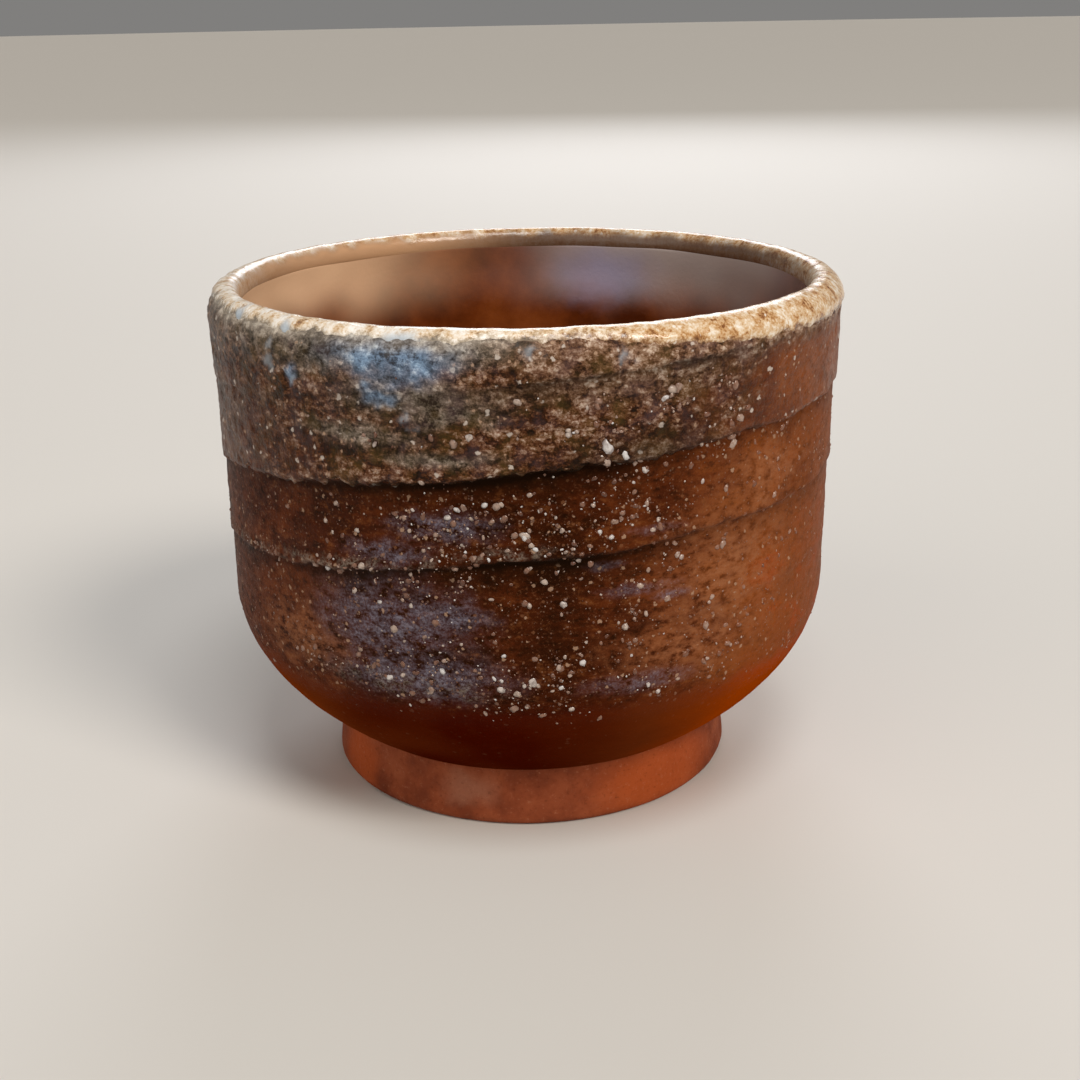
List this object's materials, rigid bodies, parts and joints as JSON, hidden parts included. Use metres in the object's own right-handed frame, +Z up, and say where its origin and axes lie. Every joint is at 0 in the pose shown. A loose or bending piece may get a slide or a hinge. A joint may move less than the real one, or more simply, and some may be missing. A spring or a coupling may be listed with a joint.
{
  "type": "sake cup",
  "caption": "Small round wood-fired stoneware drinking cup with upright throwing-ridged walls, a rounded belly, a bare clay foot ring, an ash-crusted shoulder and a glossy glazed inside",
  "frame": {"origin": "centre of the foot ring's resting face, on the surface that the cup stands on", "axes": "+Z is up along the cup's turning axis; -Y is the front that the picture shows, with the ash patch a little to its left; +X is to the right of that front"},
  "size_m": [0.0631, 0.0631, 0.051],
  "materials": {
    "fired_stoneware": "satin, flashed from dark brown to red-orange, with white feldspar specks",
    "bare_clay": "matte, unglazed",
    "ash_crust": "rough, semi-gloss, mottled melted wood ash",
    "lip_ash_glaze": "glossy, pale gold with orange-brown mottles",
    "liner_gloss": "glossy, red-brown"
  },
  "bodies": {
    "root": {"bowl": "fired_stoneware", "foot_ring": "bare_clay", "ash_coat": "ash_crust", "lip_glaze": "lip_ash_glaze", "liner_glaze": "liner_gloss"}
  },
  "joints": []
}
